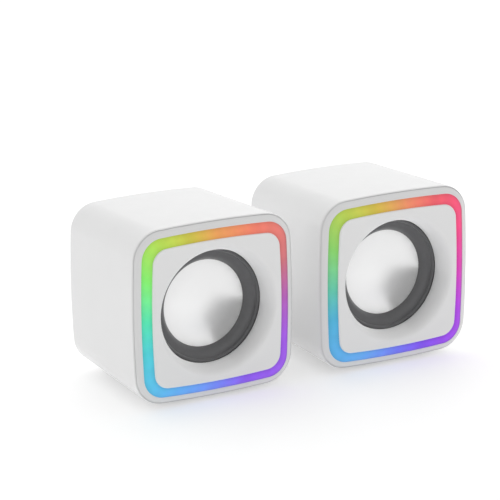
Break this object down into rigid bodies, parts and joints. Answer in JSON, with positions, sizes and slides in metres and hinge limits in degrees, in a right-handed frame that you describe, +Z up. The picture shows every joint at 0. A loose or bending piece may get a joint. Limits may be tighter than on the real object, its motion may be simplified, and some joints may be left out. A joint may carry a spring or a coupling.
{
  "type": "desktop speakers",
  "caption": "Pair of small white cube desktop speakers with bulged round-cornered cabinets, a stepped front with a lit rainbow ring, and a silver dome driver in a round well",
  "frame": {"origin": "on the desk, under the centre of the pair's bounding box", "axes": "+X along the row from the left to the right speaker as a listener sees them, -Y the way the speakers face, +Z up"},
  "size_m": [0.1512, 0.0688, 0.0708],
  "materials": {
    "shell_white": "semi-gloss moulded white",
    "fascia_white": "satin pale grey-white",
    "ring_light": "translucent diffuser lit in rainbow colours",
    "rubber_grey": "satin dark grey",
    "foot_rubber": "matt dark",
    "cone_black": "matt pressed",
    "dome_silver": "satin silver",
    "copper": "wound wire",
    "spider_cloth": "resin-treated cloth",
    "steel_zinc": "zinc plated",
    "screw_steel": "plated",
    "ferrite": "matt ferrite",
    "circuit_board": "solder-masked board"
  },
  "bodies": {
    "left_speaker": {"left_cabinet": "shell_white", "left_front_frame": "shell_white", "left_light_ring": "ring_light", "left_led_board": "circuit_board", "left_driver_baffle": "fascia_white", "left_surround": "rubber_grey", "left_spider": "spider_cloth", "left_basket": "steel_zinc", "left_top_plate": "steel_zinc", "left_magnet": "ferrite", "left_yoke": "steel_zinc", "left_foot_1": "foot_rubber", "left_case_screw_1": "screw_steel", "left_driver_screw_1": "screw_steel", "left_foot_2": "foot_rubber", "left_case_screw_2": "screw_steel", "left_driver_screw_2": "screw_steel", "left_foot_3": "foot_rubber", "left_case_screw_3": "screw_steel", "left_driver_screw_3": "screw_steel", "left_foot_4": "foot_rubber", "left_case_screw_4": "screw_steel", "left_driver_screw_4": "screw_steel", "left_grommet": "foot_rubber"},
    "right_speaker": {"right_cabinet": "shell_white", "right_front_frame": "shell_white", "right_light_ring": "ring_light", "right_led_board": "circuit_board", "right_driver_baffle": "fascia_white", "right_surround": "rubber_grey", "right_spider": "spider_cloth", "right_basket": "steel_zinc", "right_top_plate": "steel_zinc", "right_magnet": "ferrite", "right_yoke": "steel_zinc", "right_foot_1": "foot_rubber", "right_case_screw_1": "screw_steel", "right_driver_screw_1": "screw_steel", "right_foot_2": "foot_rubber", "right_case_screw_2": "screw_steel", "right_driver_screw_2": "screw_steel", "right_foot_3": "foot_rubber", "right_case_screw_3": "screw_steel", "right_driver_screw_3": "screw_steel", "right_foot_4": "foot_rubber", "right_case_screw_4": "screw_steel", "right_driver_screw_4": "screw_steel", "right_link_grommet": "foot_rubber", "right_supply_grommet": "foot_rubber", "amplifier_board": "circuit_board", "potentiometer": "steel_zinc", "pot_nut": "steel_zinc"},
    "left_diaphragm": {"left_cone": "cone_black", "left_dust_cap": "dome_silver", "left_voice_coil": "copper"},
    "right_diaphragm": {"right_cone": "cone_black", "right_dust_cap": "dome_silver", "right_voice_coil": "copper"},
    "volume_control": {"volume_knob": "shell_white", "volume_shaft": "screw_steel"}
  },
  "joints": [
    {"name": "pair_spacing", "type": "slide", "parent": "left_speaker", "child": "right_speaker", "axis": [1, 0, 0], "range_m": [-0.008, 0.12]},
    {"name": "left_cone_travel", "type": "slide", "parent": "left_speaker", "child": "left_diaphragm", "axis": [0, 1, 0], "range_m": [-0.0015, 0.0015], "stiffness_N_per_m": 1200, "deforming": ["left_surround", "left_spider"]},
    {"name": "right_cone_travel", "type": "slide", "parent": "right_speaker", "child": "right_diaphragm", "axis": [0, 1, 0], "range_m": [-0.0015, 0.0015], "stiffness_N_per_m": 1200, "deforming": ["right_surround", "right_spider"]},
    {"name": "volume_turn", "type": "hinge", "parent": "right_speaker", "child": "volume_control", "pos_m": [0.04075, 0.03345, 0.0439], "axis": [0, -1, 0], "range_deg": [0, 300]}
  ]
}
